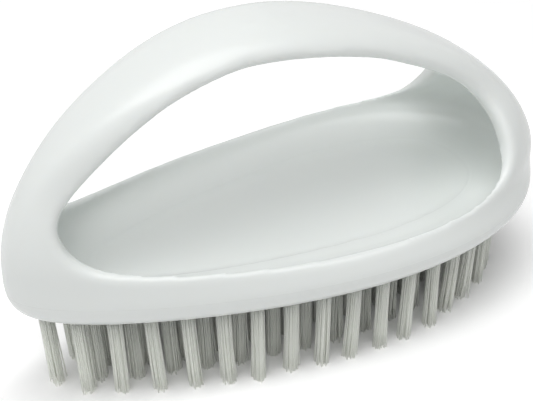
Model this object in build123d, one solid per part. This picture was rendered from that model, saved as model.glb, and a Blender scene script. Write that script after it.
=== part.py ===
from build123d import *
import math
import os

# A palm brush: one white moulding, which is an oval block with a dish on top and an arched
# strap over it for the hand, and round tufts of bristles set in holes in its underside.
# Each tuft is folded round a flat metal anchor that is pressed across the bottom of its hole.
# Millimetres, +Z up, X along the brush with the wide end at +X.
# The origin is on the floor, under the middle of the brush, which stands on its bristle tips.

# Block
half_length = 65.0
half_width = 28.7
plan_roundness = 2.0
plan_taper_share = 0.342
underside_height = 23.5
belly_rise = 7.0
underside_inset = 4.9
plate_thickness = 6.7

# Strap
strap_foot_rise = 1.6
strap_rise = 50.3
strap_apex_offset = -6.7
strap_half_width = 10.9
edge_radius = 1.6

# Window between the strap and the block
window_sill_rise = 3.6
crown_thickness = 6.3
left_leg_thickness = 12.2
right_leg_thickness = 17.5

# Holes and tufts, in rings and one straight row along the middle
hole_diameter = 3.7
hole_depth = 5.0
ring_counts = [35, 29, 23]
ring_inset_shares = [0.245, 0.47, 0.695]
ring_start_shares = [0, 0.5, 0]
ring_roundness = 1.8
ring_crowding_share = 0.1
middle_count = 9
middle_end_shares = [-0.44, 0.56]
strands_per_tuft = 5
strand_width = 0.7
strand_ring_radius = 1.15
tip_splay = 0.4
tip_cut = 0.5
fit_clearance = 0.02

# Anchors
anchor_length = 4.3
anchor_width = 1.7
anchor_gauge = 0.4
anchor_cover = 0.5
anchor_clearance = 0.05

# Heights that follow from these
belly_height = underside_height + belly_rise
dish_floor_height = underside_height + plate_thickness
strap_foot_height = belly_height + strap_foot_rise
strap_top_height = strap_foot_height + strap_rise
window_sill_height = strap_foot_height + window_sill_rise
window_top_height = strap_top_height - crown_thickness


# Outlines: smooth closed curves through evenly stepped points

outline_points = 32


def closed_face(points):
    steps = [step / len(points) for step in range(len(points) + 1)]
    return Face(Wire([Edge.make_spline(points, periodic=True, parameters=steps)]))


def oval_points(left, right, half, height, roundness, taper, count=outline_points):
    """A rounded oval that is wider at its right end."""
    middle = (left + right) / 2
    reach = (right - left) / 2
    points = []
    for step in range(count):
        angle = 2 * math.pi * step / count
        along = math.copysign(abs(math.cos(angle)) ** (2 / roundness), math.cos(angle))
        across = math.copysign(abs(math.sin(angle)) ** (2 / roundness), math.sin(angle))
        points.append(Vector(middle + reach * along, half * across * (1 + taper * along), height))
    return points


def plan_points(inset, height, count=outline_points):
    reach = half_length - inset
    return oval_points(-reach, reach, half_width - inset, height,
                       plan_roundness, plan_taper_share, count)


# Outside of the body: the block from its underside up to its belly, as shares of the underside's
# inset and of the rise

block_level_shares = [(1.0, 0.0), (0.48, 0.26), (0.12, 0.62), (0.0, 1.0)]

# Above it, the height as a share of the way from the strap's foot to its top, the half width as
# a share of the strap's, the roundness and the taper

strap_level_shares = [
    (0.05, 2.50, 2.00, 0.31),
    (0.15, 2.34, 2.15, 0.31),
    (0.25, 2.12, 2.30, 0.31),
    (0.35, 1.78, 2.50, 0.289),
    (0.45, 1.35, 2.80, 0.235),
    (0.55, 1.165, 3.10, 0.171),
    (0.65, 1.14, 3.30, 0.118),
    (0.75, 1.14, 3.30, 0.075),
    (0.84, 1.13, 3.20, 0.043),
    (0.91, 1.02, 3.10, 0.021),
    (0.955, 0.815, 2.90, 0.0),
    (0.982, 0.567, 2.60, 0.0),
    (0.995, 0.298, 2.40, 0.0),
]

# The arch seen from the side is part of a rounded oval on each side of its apex

arch_left_roundness = 1.702
arch_right_roundness = 1.339
arch_crown_roundness = 2.062


def arch_ends(share):
    rise = share ** (arch_crown_roundness / 2)
    run = math.sqrt(1 - rise ** 2)
    left_reach = half_length + strap_apex_offset
    right_reach = half_length - strap_apex_offset
    left = strap_apex_offset - left_reach * run ** (2 / arch_left_roundness)
    right = strap_apex_offset + right_reach * run ** (2 / arch_right_roundness)
    return left, right


def strap_height(share):
    return strap_foot_height + share * strap_rise


def make_bulk():
    rise = belly_height - underside_height
    levels = []
    for inset_share, rise_share in block_level_shares:
        levels.append(closed_face(plan_points(underside_inset * inset_share,
                                              underside_height + rise * rise_share)))
    for share, width_share, roundness, taper_share in strap_level_shares:
        left, right = arch_ends(share)
        levels.append(closed_face(oval_points(left, right, strap_half_width * width_share,
                                              strap_height(share), roundness, taper_share)))
    return loft(levels)


# Window: the opening for the hand, seen from the side. Shares of its reach to the left or right
# and of its height above the sill

window_shares = [
    (-1.0, 0.267), (-0.991, 0.36), (-0.964, 0.418), (-0.922, 0.482), (-0.82, 0.615),
    (-0.725, 0.725), (-0.631, 0.815), (-0.538, 0.889), (-0.445, 0.941), (-0.352, 0.977),
    (-0.258, 0.998), (-0.163, 1.0), (-0.066, 0.992), (0.034, 0.976), (0.147, 0.95),
    (0.265, 0.913), (0.387, 0.864), (0.516, 0.795), (0.688, 0.691), (0.842, 0.567),
    (0.93, 0.468), (0.981, 0.378), (1.0, 0.287), (0.998, 0.22), (0.981, 0.163),
    (0.947, 0.113), (0.874, 0.074), (0.762, 0.047), (0.421, 0.01), (0.0, 0.002),
    (-0.379, 0.032), (-0.686, 0.06), (-0.812, 0.08), (-0.911, 0.114), (-0.975, 0.18),
]


def make_window():
    points = []
    for across_share, up_share in window_shares:
        reach = half_length - (left_leg_thickness if across_share < 0 else right_leg_thickness)
        height = window_sill_height + up_share * (window_top_height - window_sill_height)
        points.append(Vector(reach * across_share, 0, height))
    edge = Edge.make_spline(points, periodic=True)
    reach = half_width * (1 + plan_taper_share)
    return extrude(Face(Wire([edge])), amount=reach, both=True, dir=(0, 1, 0))


# Dish: a smooth hollow whose ends run up into the insides of the strap's legs. Height as a share
# of the way from its floor to the strap's top, ends and half width as shares of the block's

dish_level_shares = [
    (0.0, -0.55, 0.58, 0.28, 2.2, 0.31),
    (0.0153, -0.723, 0.754, 0.57, 2.2, 0.31),
    (0.0575, -0.815, 0.846, 0.80, 2.2, 0.30),
    (0.13, -0.862, 0.897, 0.885, 2.2, 0.295),
    (0.207, -0.868, 0.902, 0.80, 2.2, 0.295),
    (0.303, -0.846, 0.871, 0.61, 2.3, 0.29),
    (0.398, -0.809, 0.809, 0.42, 2.5, 0.27),
    (0.494, -0.748, 0.723, 0.29, 2.6, 0.23),
]


def make_dish():
    rise = strap_top_height - dish_floor_height
    levels = []
    for share, left_share, right_share, width_share, roundness, taper_share in dish_level_shares:
        levels.append(closed_face(oval_points(half_length * left_share, half_length * right_share,
                                              half_width * width_share,
                                              dish_floor_height + rise * share,
                                              roundness, taper_share)))
    return loft(levels)


# Where the tufts stand. A ring starts at the left end, and its steps get shorter towards the right

ring_samples = 720


def ring_places(inset, count, start_share):
    outline = oval_points(inset - half_length, half_length - inset, half_width - inset,
                          underside_height, ring_roundness, plan_taper_share, ring_samples)
    near_side = outline[ring_samples // 2:] + outline[:1]
    walked = [0.0]
    for start, end in zip(near_side[:-1], near_side[1:]):
        walked.append(walked[-1] + (end - start).length)
    places = []
    for index in range(count):
        turn = 2 * (index + start_share) / count
        way = min(turn, 2 - turn)
        goal = walked[-1] * (way + ring_crowding_share * way * (1 - way))
        sample = 0
        while walked[sample + 1] < goal:
            sample += 1
        share = (goal - walked[sample]) / (walked[sample + 1] - walked[sample])
        place = near_side[sample] + (near_side[sample + 1] - near_side[sample]) * share
        places.append(Vector(place.X, place.Y if turn < 1 else -place.Y, place.Z))
    return places


def middle_places():
    left, right = (half_length * share for share in middle_end_shares)
    return [Vector(left + (right - left) * index / (middle_count - 1), 0, underside_height)
            for index in range(middle_count)]


rows = [ring_places(half_width * inset_share, count, start_share)
        for inset_share, count, start_share in zip(ring_inset_shares, ring_counts, ring_start_shares)]
rows.append(middle_places())
hole_bottom_height = underside_height + hole_depth
anchor_height = hole_bottom_height - anchor_cover - anchor_width / 2


# Body: bulk, less the window, with its edges rounded, less the dish and the holes

def make_body():
    body = make_bulk() - make_window()
    loops = [edge for edge in body.edges()
             if edge.length > 3 * half_length and abs(edge.center().Y) > edge_radius]
    body = fillet(loops, edge_radius)
    body = body - make_dish()
    cuts = []
    for row in rows:
        for place in row:
            middle = underside_height + (hole_depth - tip_cut) / 2
            cuts.append(Pos(place.X, place.Y, middle) * Cylinder(hole_diameter / 2,
                                                                hole_depth + tip_cut))
            cuts.append(Pos(place.X, place.Y, anchor_height)
                        * Box(anchor_length + 2 * anchor_clearance,
                              anchor_gauge + 2 * anchor_clearance,
                              anchor_width + 2 * anchor_clearance))
    return body - cuts


# Tuft: strands fused to the slice of them that fills the hole, slotted for the anchor

def make_strand(angle):
    levels = []
    for height, radius in ((underside_height + tip_cut, strand_ring_radius),
                           (0, strand_ring_radius + tip_splay)):
        place = Pos(radius * math.cos(angle), radius * math.sin(angle), height)
        levels.append(place * Rot(0, 0, math.degrees(angle)) * Rectangle(strand_width, strand_width))
    return loft(levels, ruled=True)


def make_tuft():
    root_height = hole_depth - fit_clearance
    root = Pos(0, 0, underside_height + root_height / 2) * Cylinder(hole_diameter / 2 - fit_clearance,
                                                                    root_height)
    slot = Pos(0, 0, anchor_height) * Box(hole_diameter, anchor_gauge + 2 * anchor_clearance,
                                          anchor_width + 2 * anchor_clearance)
    strands = [make_strand(2 * math.pi * index / strands_per_tuft)
               for index in range(strands_per_tuft)]
    return (root - slot) + strands


def make_anchors():
    plate = Box(anchor_length, anchor_gauge, anchor_width)
    return [Pos(place.X, place.Y, anchor_height) * plate for row in rows for place in row]


# Files: one for each piece, with the anchors and the tufts of the inner rows as groups of solids

os.makedirs("parts", exist_ok=True)
body = make_body()
print("handle_block", body.is_valid, round(body.volume), len(body.solids()))
export_step(body, "parts/handle_block.step")

tuft = make_tuft()
print("tuft", tuft.is_valid, round(tuft.volume, 2), len(tuft.solids()))
for index, place in enumerate(rows[0]):
    export_step(Pos(place.X, place.Y, 0) * tuft, f"parts/tuft_outer_{index + 1:02d}.step")
for name, row in zip(("second", "third", "middle"), rows[1:]):
    tufts = [Pos(place.X, place.Y, 0) * tuft for place in row]
    export_step(Compound(children=tufts), f"parts/tufts_{name}_row.step")
export_step(Compound(children=make_anchors()), "parts/tuft_anchors.step")
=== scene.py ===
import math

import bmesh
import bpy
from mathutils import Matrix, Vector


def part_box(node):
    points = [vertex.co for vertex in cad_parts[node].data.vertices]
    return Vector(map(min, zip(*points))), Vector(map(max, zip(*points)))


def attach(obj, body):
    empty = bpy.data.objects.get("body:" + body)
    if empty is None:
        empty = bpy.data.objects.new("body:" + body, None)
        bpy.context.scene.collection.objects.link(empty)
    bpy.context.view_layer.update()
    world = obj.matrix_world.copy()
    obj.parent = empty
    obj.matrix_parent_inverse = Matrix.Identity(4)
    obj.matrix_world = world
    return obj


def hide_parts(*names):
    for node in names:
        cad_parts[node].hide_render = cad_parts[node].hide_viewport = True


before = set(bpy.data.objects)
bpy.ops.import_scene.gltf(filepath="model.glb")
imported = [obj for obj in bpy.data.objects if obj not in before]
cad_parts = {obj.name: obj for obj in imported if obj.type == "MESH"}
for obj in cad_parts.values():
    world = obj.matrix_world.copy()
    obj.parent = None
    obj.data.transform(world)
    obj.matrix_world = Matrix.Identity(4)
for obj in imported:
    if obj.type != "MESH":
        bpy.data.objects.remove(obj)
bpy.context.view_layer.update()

# %% [markdown]
# # A palm brush
#
# This lesson dresses a small scrubbing brush. The real one has three kinds of piece: one glossy
# white moulding, which is the block, the dish and the arched strap together, ninety-six tufts of
# stiff white filaments, and a flat metal anchor that holds each tuft in its hole.
#
# The imported model is already in place when the script starts. It is in metres, +Z is up, and the
# wide end of the brush points along +X. The finished brush has to fit inside it.

MM = 0.001

# %% [markdown]
# ## Materials from nodes
#
# A material is a small tree of nodes. A few helpers keep the trees short: they add a node with its
# values, join two sockets, start a material, blend two colours, and do sums. Values that are the
# same all over a surface are set on the shader itself. Only what varies from place to place gets
# nodes of its own.

# %% Helpers for node trees


def add_node(tree, kind, **values):
    """Adds a node with values for its sockets, such as To_Min, or its options."""
    node = tree.nodes.new(kind)
    for name, value in values.items():
        socket = name.replace("_", " ")
        if socket in node.inputs:
            node.inputs[socket].default_value = value
        else:
            setattr(node, name, value)
    return node


def link(tree, source, target):
    tree.links.new(source, target)


def new_material(name, **shader_values):
    material = bpy.data.materials.new(name)
    material.use_nodes = True
    tree = material.node_tree
    shader = tree.nodes["Principled BSDF"]
    for socket, value in shader_values.items():
        shader.inputs[socket.replace("_", " ")].default_value = value
    return material, tree, shader


def blend_colours(tree, factor, first, second):
    mix = add_node(tree, "ShaderNodeMix", data_type="RGBA")
    link(tree, factor, mix.inputs["Factor"])
    mix.inputs[6].default_value = (*first, 1)
    mix.inputs[7].default_value = (*second, 1)
    return mix.outputs[2]


def calculate(tree, operation, *values):
    node = add_node(tree, "ShaderNodeMath", operation=operation)
    for socket, value in zip(node.inputs, values):
        if isinstance(value, (int, float)):
            socket.default_value = value
        else:
            link(tree, value, socket)
    return node.outputs[0]


# %% [markdown]
# ## Glossy white moulding
#
# The body is a dense white plastic with a faint cool green cast, polished by the mould. It isn't a
# flat white: the plastic is a little milky, the surface has the slow waves that a moulding gets as
# it cools, and a hair line runs round the side where the two halves of the mould met. The waves and
# the line are far too small for the mesh, so they are bumps.

# %% Moulding material
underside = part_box("handle_block")[0].z
parting_height = underside + 7.5 * MM
parting_width = 0.16 * MM
milky_shade = (0.893, 0.930, 0.908)
milky_light = (0.912, 0.945, 0.925)

gloss_white, tree, shader = new_material(
    "gloss_white_plastic",
    Roughness=0.27,
    IOR=1.49,
    Specular_IOR_Level=0.5,
    Coat_Weight=0.1,
    Coat_Roughness=0.2,
    Subsurface_Weight=0.12,
    Subsurface_Scale=2.5 * MM,
)
shader.inputs["Subsurface Radius"].default_value = (1.0, 0.95, 0.85)
place = add_node(tree, "ShaderNodeTexCoord")
cloud = add_node(tree, "ShaderNodeTexNoise", Scale=38.0, Detail=3.0, Roughness=0.5)
link(tree, place.outputs["Object"], cloud.inputs["Vector"])
white = blend_colours(tree, cloud.outputs["Fac"], milky_shade, milky_light)
link(tree, white, shader.inputs["Base Color"])

slow_waves = add_node(tree, "ShaderNodeTexNoise", Scale=55.0, Detail=1.0)
link(tree, place.outputs["Object"], slow_waves.inputs["Vector"])
wave_bump = add_node(tree, "ShaderNodeBump", Strength=0.10, Distance=0.4 * MM)
link(tree, slow_waves.outputs["Fac"], wave_bump.inputs["Height"])

split = add_node(tree, "ShaderNodeSeparateXYZ")
link(tree, place.outputs["Object"], split.inputs[0])
above_line = calculate(tree, "SUBTRACT", split.outputs["Z"], parting_height)
off_line = calculate(tree, "ABSOLUTE", above_line)
ridge = add_node(tree, "ShaderNodeMapRange", From_Max=parting_width, To_Min=1.0, To_Max=0.0)
link(tree, off_line, ridge.inputs["Value"])
line_bump = add_node(tree, "ShaderNodeBump", Strength=0.35, Distance=0.12 * MM)
link(tree, ridge.outputs[0], line_bump.inputs["Height"])
link(tree, wave_bump.outputs[0], line_bump.inputs["Normal"])
link(tree, line_bump.outputs[0], shader.inputs["Normal"])
print("moulding material with", len(tree.nodes), "nodes")

# %% [markdown]
# ## Body
#
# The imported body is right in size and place, but its surface is a patchwork of loose triangles
# with a hard edge wherever two cuts met. The real moulding flows: every edge has a small soft
# radius. So a copy of it is merged, rebuilt by the Remesh modifier in even voxels, and relaxed in a
# few small steps, which rounds what is smaller than a millimetre and leaves the rest. The voxels
# are as small as they can be while the body stays under 200,000 triangles.

# %% Smooth copy of the moulding
voxel = 0.63 * MM
relax_steps = 12
weld_distance = 0.002 * MM


def add_to_scene(name, data):
    thing = bpy.data.objects.new(name, data)
    bpy.context.scene.collection.objects.link(thing)
    return thing


def merged_copy(node, name):
    piece = add_to_scene(name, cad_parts[node].data.copy())
    weld = piece.modifiers.new("Weld", "WELD")
    weld.merge_threshold = weld_distance
    return piece


def make_plain_mesh(piece):
    """Turns the piece and its modifiers into a plain mesh."""
    view = bpy.context.evaluated_depsgraph_get()
    mesh = bpy.data.meshes.new_from_object(piece.evaluated_get(view))
    piece.modifiers.clear()
    piece.data = mesh


body = merged_copy("handle_block", "moulded_body")
remesh = body.modifiers.new("Remesh", "REMESH")
remesh.mode = "VOXEL"
remesh.voxel_size = voxel
relax = body.modifiers.new("Relax", "SMOOTH")
relax.factor = 0.5
relax.iterations = relax_steps
make_plain_mesh(body)
body.data.materials.clear()
body.data.materials.append(gloss_white)
body.data.shade_smooth()
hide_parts("handle_block")
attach(body, "root")
print("body has", len(body.data.polygons), "faces")

# %% [markdown]
# ## Filament material
#
# The filaments are clear-white nylon. Light passes into them and on through the tuft, so a tuft
# looks soft and grey-white rather than chalky, and each filament has a thin bright line of gloss
# along it. Two shaders are mixed for this: one for the surface, and one that lets light through
# from behind. A whole tuft would still throw a black shadow on the next one, so shadow rays find
# the filaments mostly clear.

# %% Filament material
dull_strand = (0.87, 0.882, 0.862)
bright_strand = (0.99, 0.995, 0.985)
light_passed_on = 0.5
shadow_softening = 0.85

filament, tree, shader = new_material(
    "white_filament",
    Roughness=0.38,
    IOR=1.53,
    Specular_IOR_Level=0.45,
)
strand_tone = add_node(tree, "ShaderNodeAttribute", attribute_name="strand_tone")
tone = blend_colours(tree, strand_tone.outputs["Fac"], dull_strand, bright_strand)
link(tree, tone, shader.inputs["Base Color"])
see_through = add_node(tree, "ShaderNodeBsdfTranslucent", Color=(0.97, 0.98, 0.945, 1.0))
join = add_node(tree, "ShaderNodeMixShader", Fac=light_passed_on)
link(tree, shader.outputs[0], join.inputs[1])
link(tree, see_through.outputs[0], join.inputs[2])
path = add_node(tree, "ShaderNodeLightPath")
clear = add_node(tree, "ShaderNodeBsdfTransparent", Color=(0.99, 0.99, 0.97, 1.0))
soften = add_node(tree, "ShaderNodeMixShader")
softness = calculate(tree, "MULTIPLY", path.outputs["Is Shadow Ray"], shadow_softening)
link(tree, softness, soften.inputs["Fac"])
link(tree, join.outputs[0], soften.inputs[1])
link(tree, clear.outputs[0], soften.inputs[2])
link(tree, soften.outputs[0], tree.nodes["Material Output"].inputs["Surface"])
print("filament material with", len(tree.nodes), "nodes")

# %% [markdown]
# ## Tufts
#
# Thousands of filaments that follow one rule are a job for Geometry Nodes. The tree gets one point
# for each hole. It fills a disc with points, puts such a disc under every hole, hangs a thin rod
# from every point, and then bends each rod. A filament leans away from the middle of its tuft and a
# little at random, more towards its tip. A few stray much further, and each tuft also leans its own
# way as a whole. No two filaments are quite the same length. Every size is a named input, and the
# random values come from a fixed seed.

# %% Where the tufts stand


def solid_centres(node):
    """Middle, seen from above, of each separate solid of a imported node."""
    solids = bmesh.new()
    solids.from_mesh(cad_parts[node].data)
    bmesh.ops.remove_doubles(solids, verts=solids.verts, dist=weld_distance)
    left = set(solids.verts)
    centres = []
    while left:
        reached = [left.pop()]
        for vertex in reached:
            for edge in vertex.link_edges:
                neighbour = edge.other_vert(vertex)
                if neighbour in left:
                    left.remove(neighbour)
                    reached.append(neighbour)
        xs = [vertex.co.x for vertex in reached]
        ys = [vertex.co.y for vertex in reached]
        centres.append(Vector((min(xs) + max(xs), min(ys) + max(ys))) / 2)
    solids.free()
    # A set has no fixed order, and the random values of a tuft follow the order of the holes
    return sorted(centres, key=tuple)


row_nodes = {"outer": sorted(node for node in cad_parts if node.startswith("tuft_outer"))}
for row in ("second", "third", "middle"):
    row_nodes[row] = [f"tufts_{row}_row"]
rows = {row: [place for node in nodes for place in solid_centres(node)]
        for row, nodes in row_nodes.items()}
print({row: len(places) for row, places in rows.items()})

# %% Sockets of the tuft tree
bristles = bpy.data.node_groups.new("bristle_tufts", "GeometryNodeTree")
face = bristles.interface
face.new_socket("Holes", in_out="INPUT", socket_type="NodeSocketGeometry")
kinds = dict.fromkeys(("Tuft Radius", "Filament Radius", "Root Height", "Shortfall", "Splay",
                       "Stray", "Tuft Lean", "Spacing"), "NodeSocketFloat")
kinds.update({"Seed": "NodeSocketInt", "Material": "NodeSocketMaterial"})
sockets = {name: face.new_socket(name, in_out="INPUT", socket_type=kind).identifier
           for name, kind in kinds.items()}
face.new_socket("Tufts", in_out="OUTPUT", socket_type="NodeSocketGeometry")
given = bristles.nodes.new("NodeGroupInput").outputs
made = bristles.nodes.new("NodeGroupOutput").inputs
position = bristles.nodes.new("GeometryNodeInputPosition").outputs[0]
print("inputs:", ", ".join(sockets))

# %% [markdown]
# A disc full of points comes first. They are spread at random, but never closer together than the
# spacing, so the filaments fill the hole evenly. A copy of the disc goes under every hole, turned
# by a random angle. The middle of the hole is noted down for each point, because the leans need it.

# %% Points under every hole
disc_sides = 24
densest = 4.0e7  # points in a square metre, before the spacing thins them

disc = add_node(bristles, "GeometryNodeMeshCircle", fill_type="TRIANGLE_FAN", Vertices=disc_sides)
link(bristles, given["Tuft Radius"], disc.inputs["Radius"])
fill = add_node(bristles, "GeometryNodeDistributePointsOnFaces", distribute_method="POISSON",
                Density_Max=densest)
link(bristles, disc.outputs["Mesh"], fill.inputs["Mesh"])
link(bristles, given["Spacing"], fill.inputs["Distance Min"])
link(bristles, given["Seed"], fill.inputs["Seed"])

centre = add_node(bristles, "GeometryNodeCaptureAttribute", domain="POINT")
centre.capture_items.new("VECTOR", "Centre")
link(bristles, given["Holes"], centre.inputs[0])
link(bristles, position, centre.inputs["Centre"])
turn = add_node(bristles, "FunctionNodeRandomValue", data_type="FLOAT_VECTOR",
                Min=(0, 0, 0), Max=(0, 0, 2 * math.pi))
link(bristles, given["Seed"], turn.inputs["Seed"])
discs = bristles.nodes.new("GeometryNodeInstanceOnPoints")
link(bristles, centre.outputs[0], discs.inputs["Points"])
link(bristles, fill.outputs["Points"], discs.inputs["Instance"])
link(bristles, turn.outputs[0], discs.inputs["Rotation"])
spread = bristles.nodes.new("GeometryNodeRealizeInstances")
link(bristles, discs.outputs[0], spread.inputs[0])
print("a disc of", disc_sides, "sides holds the points of a tuft")

# %% [markdown]
# Next, one thin rod hangs from every point. The rod is modelled 1 m long, moved down by half of
# that, and then scaled to the height of the hole above the table, less a random shortfall. Its
# square is used, so most filaments are nearly full length and a few are shorter. Each rod also
# gets a random tone, which the filament material reads.

# %% A rod on every point
rod_sides = 5
rod_steps = 4  # lengthwise pieces, so that a rod can bend
tone_seed = 11

root = add_node(bristles, "GeometryNodeCaptureAttribute", domain="POINT")
root.capture_items.new("VECTOR", "Root")
link(bristles, spread.outputs[0], root.inputs[0])
link(bristles, position, root.inputs["Root"])
rod = add_node(bristles, "GeometryNodeMeshCylinder", fill_type="TRIANGLE_FAN", Vertices=rod_sides,
               Side_Segments=rod_steps, Depth=1.0)
link(bristles, given["Filament Radius"], rod.inputs["Radius"])
hang = add_node(bristles, "GeometryNodeTransform", Translation=(0, 0, -0.5))
link(bristles, rod.outputs["Mesh"], hang.inputs["Geometry"])

short = add_node(bristles, "FunctionNodeRandomValue", data_type="FLOAT")
link(bristles, given["Seed"], short.inputs["Seed"])
squared = calculate(bristles, "MULTIPLY", short.outputs["Value"], short.outputs["Value"])
loss = calculate(bristles, "MULTIPLY", squared, given["Shortfall"])
size = add_node(bristles, "ShaderNodeCombineXYZ", X=1, Y=1)
link(bristles, calculate(bristles, "SUBTRACT", given["Root Height"], loss), size.inputs["Z"])
rods = bristles.nodes.new("GeometryNodeInstanceOnPoints")
link(bristles, root.outputs[0], rods.inputs["Points"])
link(bristles, hang.outputs[0], rods.inputs["Instance"])
link(bristles, size.outputs[0], rods.inputs["Scale"])

tone = add_node(bristles, "GeometryNodeStoreNamedAttribute", data_type="FLOAT", domain="INSTANCE",
                Name="strand_tone")
shade = add_node(bristles, "FunctionNodeRandomValue", data_type="FLOAT", Seed=tone_seed)
link(bristles, rods.outputs[0], tone.inputs["Geometry"])
link(bristles, shade.outputs["Value"], tone.inputs["Value"])
all_rods = bristles.nodes.new("GeometryNodeRealizeInstances")
link(bristles, tone.outputs[0], all_rods.inputs[0])
print("a rod has", rod_sides, "sides and", rod_steps, "pieces")

# %% [markdown]
# Then the rods bend. How far down a point lies decides how much of a lean it gets, so a filament
# leaves its hole upright and curves away near its tip. Three leans are added up: outwards from the
# middle of the tuft, a random one for each filament, and a random one for the tuft as a whole.
# White noise that is read at a fixed place gives the same random value in every run.

# %% Helpers for leans


def calculate_vector(tree, operation, *values):
    node = add_node(tree, "ShaderNodeVectorMath", operation=operation)
    for socket, value in zip(node.inputs, values):
        if isinstance(value, tuple):
            socket.default_value = value
        else:
            link(tree, value, socket)
    return node.outputs[0]


def scale_vector(tree, vector, factor):
    node = add_node(tree, "ShaderNodeVectorMath", operation="SCALE")
    link(tree, vector, node.inputs[0])
    link(tree, factor, node.inputs["Scale"])
    return node.outputs[0]


def random_sideways(tree, place, scale):
    """White noise that is fixed by a place: its node, and a level vector from -1 to 1."""
    noise = add_node(tree, "ShaderNodeTexWhiteNoise", noise_dimensions="3D")
    scaled_place = calculate_vector(tree, "MULTIPLY", place, (scale, scale, 0.0))
    link(tree, scaled_place, noise.inputs["Vector"])
    centred = calculate_vector(tree, "SUBTRACT", noise.outputs["Color"], (0.5, 0.5, 0.5))
    return noise, calculate_vector(tree, "MULTIPLY", centred, (2.0, 2.0, 0.0))


# %% Leans
bend = 1.6  # power of the way down: over 1, so most of a lean comes near the tip
stray_rarity = 12.0  # power of the noise: high, so only a few filaments stray far
stray_extra = 4.0  # the rarest of them strays 5 times as far as the rest
strand_noise_scale = 9000.0  # so large that two near places get unlike noise
tuft_noise_scale = 7000.0

height = bristles.nodes.new("ShaderNodeSeparateXYZ")
link(bristles, position, height.inputs[0])
down = calculate(bristles, "SUBTRACT", given["Root Height"], height.outputs["Z"])
share = calculate(bristles, "DIVIDE", down, given["Root Height"])
grow = calculate(bristles, "POWER", share, bend)

out = calculate_vector(bristles, "SUBTRACT", root.outputs["Root"], centre.outputs["Centre"])
outwards = scale_vector(bristles, out, calculate(bristles, "MULTIPLY", grow, given["Splay"]))

noise, own_way = random_sideways(bristles, root.outputs["Root"], strand_noise_scale)
rare = calculate(bristles, "POWER", noise.outputs["Value"], stray_rarity)
wild = calculate(bristles, "MULTIPLY_ADD", rare, stray_extra, 1.0)
reach = calculate(bristles, "MULTIPLY", wild, given["Stray"])
stray = scale_vector(bristles, own_way, calculate(bristles, "MULTIPLY", grow, reach))

_, tuft_way = random_sideways(bristles, centre.outputs["Centre"], tuft_noise_scale)
tuft_reach = calculate(bristles, "MULTIPLY", grow, given["Tuft Lean"])
tuft_lean = scale_vector(bristles, tuft_way, tuft_reach)
two_leans = calculate_vector(bristles, "ADD", outwards, stray)
all_leans = calculate_vector(bristles, "ADD", two_leans, tuft_lean)
print("a stray filament reaches up to", 1 + stray_extra, "times as far")

# %% Bent rods with their material
move = bristles.nodes.new("GeometryNodeSetPosition")
link(bristles, all_rods.outputs[0], move.inputs["Geometry"])
link(bristles, all_leans, move.inputs["Offset"])
paint = bristles.nodes.new("GeometryNodeSetMaterial")
link(bristles, move.outputs[0], paint.inputs["Geometry"])
link(bristles, given["Material"], paint.inputs["Material"])
last = bristles.nodes.new("GeometryNodeRealizeInstances")
link(bristles, paint.outputs[0], last.inputs[0])
link(bristles, last.outputs[0], made[0])
print("tuft tree with", len(bristles.nodes), "nodes")

# %% [markdown]
# The tree is used once for each row, with the holes of that row as points. The result is turned
# into a plain mesh, and stands in for the row's packed tufts.

# %% Grow the tufts row by row
first_row_seed = 3
tuft_sizes = {
    "Tuft Radius": 1.56 * MM,
    "Filament Radius": 0.18 * MM,
    "Root Height": underside + 0.6 * MM,
    "Shortfall": 1.3 * MM,
    "Splay": 0.06,
    "Stray": 0.2 * MM,
    "Tuft Lean": 0.55 * MM,
    "Spacing": 0.33 * MM,
    "Material": filament,
}
for index, (row, places) in enumerate(rows.items()):
    holes = bpy.data.meshes.new(f"{row}_holes")
    holes.from_pydata([(p.x, p.y, tuft_sizes["Root Height"]) for p in places], [], [])
    tufts = add_to_scene(f"{row}_tufts", holes)
    grow = tufts.modifiers.new("Tufts", "NODES")
    grow.node_group = bristles
    for name, value in {**tuft_sizes, "Seed": index + first_row_seed}.items():
        grow[sockets[name]] = value
    make_plain_mesh(tufts)
    tufts.data.shade_smooth()
    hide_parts(*row_nodes[row])
    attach(tufts, "root")
    print(row, "tufts:", len(tufts.data.vertices), "points,", len(tufts.data.polygons), "faces")

# %% [markdown]
# ## Anchors
#
# The anchors are cut from flat wire and sit deep in the holes. Their shape is already right, so
# they only get a brushed metal in place of the plain one.

# %% Anchor material
dark_steel = (0.50, 0.50, 0.48)
light_steel = (0.66, 0.66, 0.63)
brushing = (40.0, 900.0, 4000.0)  # long along X, the way the wire was drawn

anchor_wire, tree, shader = new_material("anchor_wire", Metallic=1.0, Roughness=0.36)
place = add_node(tree, "ShaderNodeTexCoord")
stretch = add_node(tree, "ShaderNodeMapping", Scale=brushing)
streaks = add_node(tree, "ShaderNodeTexNoise", Scale=1.0, Detail=2.0)
link(tree, place.outputs["Object"], stretch.inputs["Vector"])
link(tree, stretch.outputs[0], streaks.inputs["Vector"])
steel = blend_colours(tree, streaks.outputs["Fac"], dark_steel, light_steel)
link(tree, steel, shader.inputs["Base Color"])
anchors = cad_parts["tuft_anchors"]
anchors.data.materials.clear()
anchors.data.materials.append(anchor_wire)
print("anchors keep their", len(anchors.data.polygons), "packed faces")

# %% [markdown]
# ## Floor and light
#
# The brush stands on a white table. The table's own white is lifted, for the camera and for
# reflections only, so that it meets the white background and still keeps the soft shadow. Two big
# soft lamps light the brush from above and from the left, and the white sky fills what they miss.

# %% A white that only the camera and reflections see


def seen_directly(tree):
    """1 for camera, glossy and transmission rays, 0 for the rays that light the brush."""
    rays = add_node(tree, "ShaderNodeLightPath").outputs
    either = calculate(tree, "MAXIMUM", rays["Is Camera Ray"], rays["Is Glossy Ray"])
    return calculate(tree, "MAXIMUM", either, rays["Is Transmission Ray"])
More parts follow.
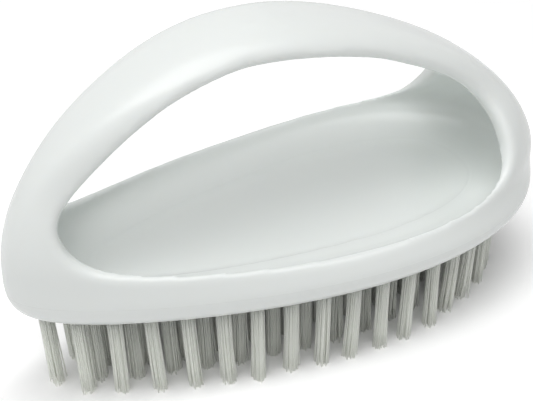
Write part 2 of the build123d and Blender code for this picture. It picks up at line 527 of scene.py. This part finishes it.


# %% Table material
# The lift fades out under the bristles, which paints the brush's shade onto the table there as a
# darker oval. The bristles fill an oval that is wider at its right end
table_white = 0.94
full_lift = 0.36
shaded_lift = 0.02
fade_starts, fade_ends = 0.8, 2.0  # squared shares of the way from the middle to the oval's edge
bristle_reach = max(hole.x for hole in rows["outer"]) + 2 * MM
bristle_half_width = 19 * MM
bristle_taper = 0.34

table, tree, shader = new_material("white_table", Roughness=0.9, Specular_IOR_Level=0.0)
shader.inputs["Base Color"].default_value = (table_white, table_white, table_white, 1)
lift = add_node(tree, "ShaderNodeEmission", Color=(1, 1, 1, 1))
place = add_node(tree, "ShaderNodeTexCoord")
plan = add_node(tree, "ShaderNodeSeparateXYZ")
link(tree, place.outputs["Object"], plan.inputs[0])
along = calculate(tree, "DIVIDE", plan.outputs["X"], bristle_reach)
widening = calculate(tree, "ADD", calculate(tree, "MULTIPLY", along, bristle_taper), 1.0)
half_width = calculate(tree, "MULTIPLY", widening, bristle_half_width)
across = calculate(tree, "DIVIDE", plan.outputs["Y"], half_width)
from_middle = calculate(tree, "ADD", calculate(tree, "MULTIPLY", along, along),
                        calculate(tree, "MULTIPLY", across, across))
# Painted shade: inside the bristles' oval the camera's lift drops to shaded_lift, so the table
# looks darker there
fade = add_node(tree, "ShaderNodeMapRange", interpolation_type="SMOOTHSTEP",
                From_Min=fade_starts, From_Max=fade_ends, To_Min=shaded_lift, To_Max=full_lift)
link(tree, from_middle, fade.inputs["Value"])
lift_strength = calculate(tree, "MULTIPLY", seen_directly(tree), fade.outputs[0])
link(tree, lift_strength, lift.inputs["Strength"])
total = add_node(tree, "ShaderNodeAddShader")
link(tree, shader.outputs[0], total.inputs[0])
link(tree, lift.outputs[0], total.inputs[1])
link(tree, total.outputs[0], tree.nodes["Material Output"].inputs["Surface"])
print("table material with", len(tree.nodes), "nodes")

# %% Table top
table_half = 1.2
table_gap = 0.05 * MM  # below the bristle tips, so that the two never share a plane

ground = bpy.data.meshes.new("table_top")
corners = [(-table_half, -table_half, 0), (table_half, -table_half, 0),
           (table_half, table_half, 0), (-table_half, table_half, 0)]
ground.from_pydata(corners, [], [(0, 1, 2, 3)])
floor = add_to_scene("table_top", ground)
floor.location.z = -table_gap
ground.materials.append(table)
print("table", 2 * table_half, "m wide, under bristles that reach to x =", round(bristle_reach, 3))

# %% White background
fill_light = 0.21  # strength of the sky as light on the brush. What is seen of it is full white

world = bpy.data.worlds.new("studio")
world.use_nodes = True
bpy.context.scene.world = world
tree = world.node_tree
sky = tree.nodes["Background"]
sky.inputs["Color"].default_value = (1, 1, 1, 1)
extra = calculate(tree, "MULTIPLY", seen_directly(tree), 1 - fill_light)
link(tree, calculate(tree, "ADD", extra, fill_light), sky.inputs["Strength"])
print("sky gives", fill_light, "of full white as light")

# %% Lamps


def soft_box(name, place, aim, size, watts):
    lamp = bpy.data.lights.new(name, "AREA")
    lamp.shape = "RECTANGLE"
    lamp.size, lamp.size_y = size
    lamp.energy = watts
    holder = add_to_scene(name, lamp)
    holder.location = place
    holder.rotation_euler = (Vector(aim) - Vector(place)).to_track_quat("-Z", "Y").to_euler()
    print(name, watts, "W, size", size, "m")


middle = (0, 0, 35 * MM)
soft_box("overhead", place=(-0.14, -0.14, 0.73), aim=middle, size=(0.85, 0.65), watts=4.2)
soft_box("left_window", place=(-0.34, -0.24, 0.66), aim=middle, size=(0.4, 0.4), watts=0.5)

# %% [markdown]
# ## Camera
#
# The camera stands where the photograph was taken from: turned to the left of the brush and
# looking down on it, with a longish lens. Its place is worked out from two angles and a distance,
# and its axes from the way it looks, so each number can be changed by itself.

# %% Camera
azimuth = math.radians(-24.31)
elevation = math.radians(37.25)
roll = math.radians(-1.224)
distance = 216.8 * MM
target = Vector((-4.11 * MM, 0, 34.9 * MM))
frame_width = 533  # pixels
focal_pixels = 944.0  # the lens's focal length in the same pixels
sensor_width = 36  # in millimetres, as the lens
near_clip = 0.01

back = Vector((math.sin(azimuth) * math.cos(elevation), -math.cos(azimuth) * math.cos(elevation),
               math.sin(elevation)))
level_right = (-back).cross(Vector((0, 0, 1))).normalized()
level_up = level_right.cross(-back)
right = level_right * math.cos(roll) + level_up * math.sin(roll)
up = level_up * math.cos(roll) - level_right * math.sin(roll)
lens = bpy.data.cameras.new("camera")
lens.sensor_width = sensor_width
lens.lens = focal_pixels * sensor_width / frame_width
lens.clip_start = near_clip
camera = add_to_scene("camera", lens)
stand = target + back * distance
camera.matrix_world = Matrix(((right.x, up.x, back.x, stand.x), (right.y, up.y, back.y, stand.y),
                              (right.z, up.z, back.z, stand.z), (0, 0, 0, 1)))
bpy.context.scene.camera = camera
bpy.context.scene.view_settings.view_transform = "Standard"
print("lens", round(lens.lens, 1), "mm")
